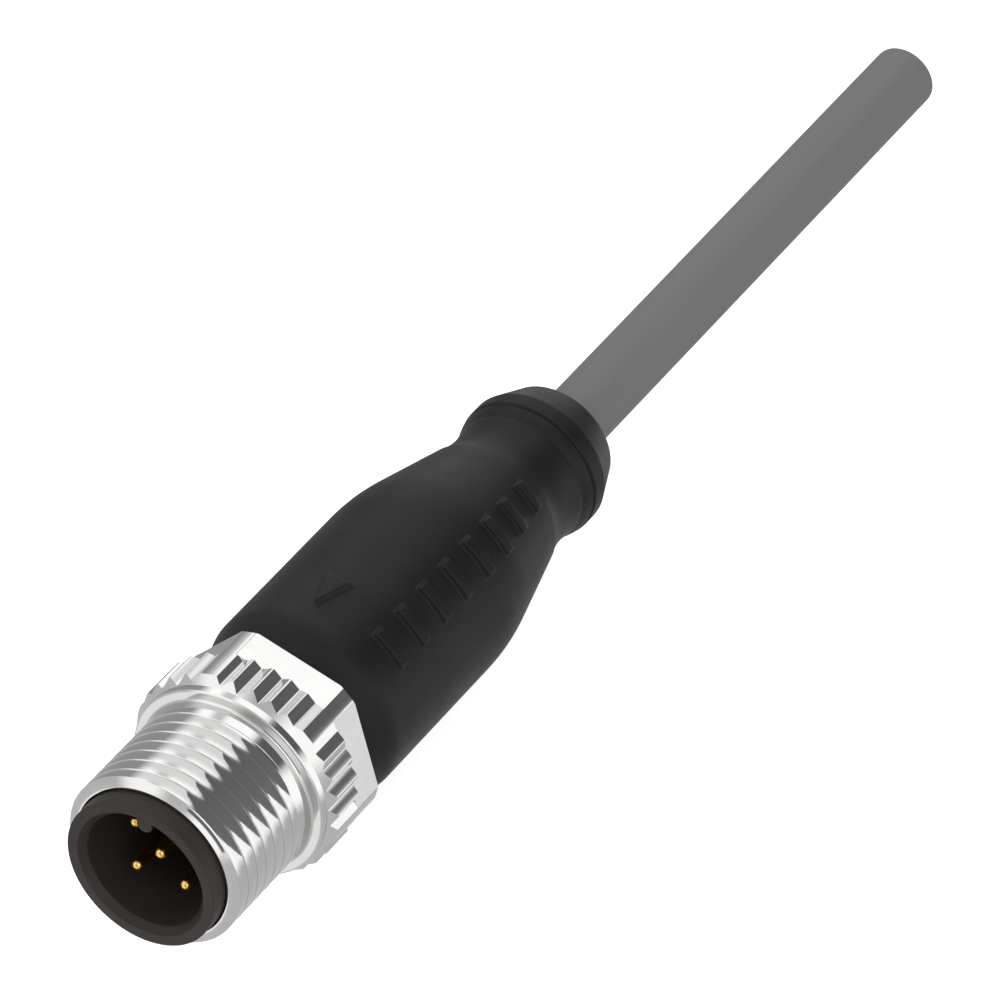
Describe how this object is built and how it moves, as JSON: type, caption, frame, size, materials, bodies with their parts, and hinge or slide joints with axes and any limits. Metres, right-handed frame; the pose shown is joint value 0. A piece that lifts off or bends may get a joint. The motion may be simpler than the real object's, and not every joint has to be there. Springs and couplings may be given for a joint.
{
  "type": "single-ended cordset",
  "caption": "Straight male M12 plug with a turning knurled coupling nut, moulded grip and a short round cable that ends bare.",
  "frame": {"origin": "on the plug's axis, at the first full crest of the coupling thread", "axes": "-Y points out of the mating face, +Y along the cable, +Z through the coding key and the arrow mark"},
  "size_m": [0.0144, 0.0935, 0.0144],
  "materials": {
    "nickel_plate": "bright nickel plate on turned brass",
    "insulator_black": "moulded, satin",
    "gold_plate": "gold plate, bright",
    "premould_grey": "moulded, hidden",
    "grip_black": "soft moulded, satin",
    "sheath_grey": "extruded, matt",
    "core_brown": "extruded",
    "core_white": "extruded",
    "core_blue": "extruded",
    "core_black": "extruded",
    "core_grey": "extruded",
    "copper": "bare drawn copper strand"
  },
  "bodies": {
    "plug": {"contact_carrier": "insulator_black", "inner_premould": "premould_grey", "grip_body": "grip_black", "cable_jacket": "sheath_grey", "contact_pin_1": "gold_plate", "contact_pin_2": "gold_plate", "contact_pin_3": "gold_plate", "contact_pin_4": "gold_plate", "contact_pin_5": "gold_plate", "core_insulation_1": "core_brown", "core_insulation_2": "core_white", "core_insulation_3": "core_blue", "core_insulation_4": "core_black", "core_insulation_5": "core_grey", "conductor_1": "copper", "conductor_2": "copper", "conductor_3": "copper", "conductor_4": "copper", "conductor_5": "copper"},
    "nut": {"coupling_nut": "nickel_plate"}
  },
  "joints": [
    {"name": "nut_spin", "type": "hinge", "parent": "plug", "child": "nut", "pos_m": [0, 0, 0], "axis": [0, 1, 0], "continuous": true}
  ]
}
